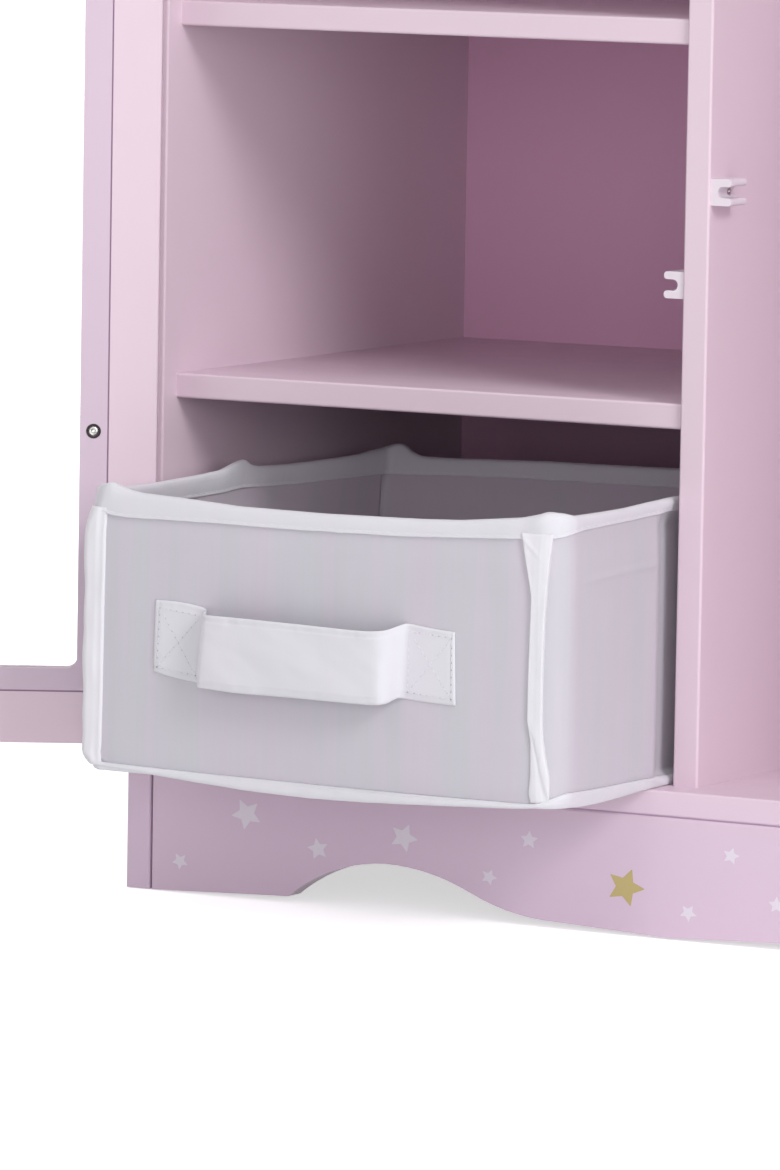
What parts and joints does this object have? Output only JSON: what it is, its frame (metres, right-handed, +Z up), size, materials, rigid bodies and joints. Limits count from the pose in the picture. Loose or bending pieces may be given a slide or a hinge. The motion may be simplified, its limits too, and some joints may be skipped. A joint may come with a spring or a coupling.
{
  "type": "doll closet",
  "caption": "Doll closet with hinged glazed doors, cubby shelves, a hanging bay with a rod and a pull-out fabric bin.",
  "frame": {"origin": "middle of the footprint, on the floor, in the underside of the centre support", "axes": "+X along the width towards the hanging bay, +Y from the doors to the back, +Z up"},
  "size_m": [1.0512, 0.4633, 0.61],
  "materials": {
    "painted_board": "satin paint",
    "starred_skirt": "satin paint with small stars",
    "back_board": "matt paint",
    "bare_wood": "bare",
    "clear_pane": "clear",
    "steel": "bright",
    "pale_plastic": "moulded",
    "grey_fabric": "fine non-woven",
    "white_tape": "folded tape"
  },
  "bodies": {
    "carcase": {"left_side_panel": "painted_board", "right_side_panel": "painted_board", "centre_divider": "painted_board", "bottom_panel": "painted_board", "top_panel": "painted_board", "back_panel": "back_board", "lower_shelf": "painted_board", "upper_shelf": "painted_board", "front_skirt": "starred_skirt", "rear_rail": "painted_board", "centre_support": "painted_board", "shelf_dowels": "bare_wood", "top_dowels": "bare_wood", "base_dowels": "bare_wood", "panel_screws": "steel", "screw_caps": "pale_plastic", "divider_screws": "steel", "back_screws": "steel", "hanging_rod": "painted_board", "rod_sockets": "pale_plastic", "rod_socket_screws": "steel", "left_catch_fork": "pale_plastic", "right_catch_fork": "pale_plastic", "catch_screws": "steel", "left_hinge_cabinet_leaves": "steel", "left_hinge_pins": "steel", "left_hinge_cabinet_screws": "steel", "right_hinge_cabinet_leaves": "steel", "right_hinge_pins": "steel", "right_hinge_cabinet_screws": "steel"},
    "left_door": {"left_door_frame": "painted_board", "left_door_pane": "clear_pane", "left_door_retainer": "painted_board", "left_retainer_screws": "steel", "left_door_knob": "painted_board", "left_knob_screw": "steel", "left_door_peg": "pale_plastic", "left_hinge_door_leaves": "steel", "left_hinge_door_screws": "steel"},
    "right_door": {"right_door_frame": "painted_board", "right_door_pane": "clear_pane", "right_door_retainer": "painted_board", "right_retainer_screws": "steel", "right_door_knob": "painted_board", "right_knob_screw": "steel", "right_door_peg": "pale_plastic", "right_hinge_door_leaves": "steel", "right_hinge_door_screws": "steel"},
    "storage_bin": {"bin_front_wall": "grey_fabric", "bin_back_wall": "grey_fabric", "bin_left_wall": "grey_fabric", "bin_right_wall": "grey_fabric", "bin_base_board": "grey_fabric", "bin_rim_binding": "white_tape", "bin_bottom_binding": "white_tape", "bin_corner_bindings": "white_tape", "bin_handle": "white_tape"}
  },
  "joints": [
    {"name": "left_door_hinge", "type": "hinge", "parent": "carcase", "child": "left_door", "pos_m": [-0.28015, -0.1559, 0.334], "axis": [0, 0, 1], "range_deg": [-24, 60]},
    {"name": "right_door_hinge", "type": "hinge", "parent": "carcase", "child": "right_door", "pos_m": [0.28015, -0.1559, 0.334], "axis": [0, 0, -1], "range_deg": [-24, 151]},
    {"name": "bin_slide", "type": "slide", "parent": "carcase", "child": "storage_bin", "axis": [0, 1, 0], "range_m": [-0.19, 0.125]}
  ]
}
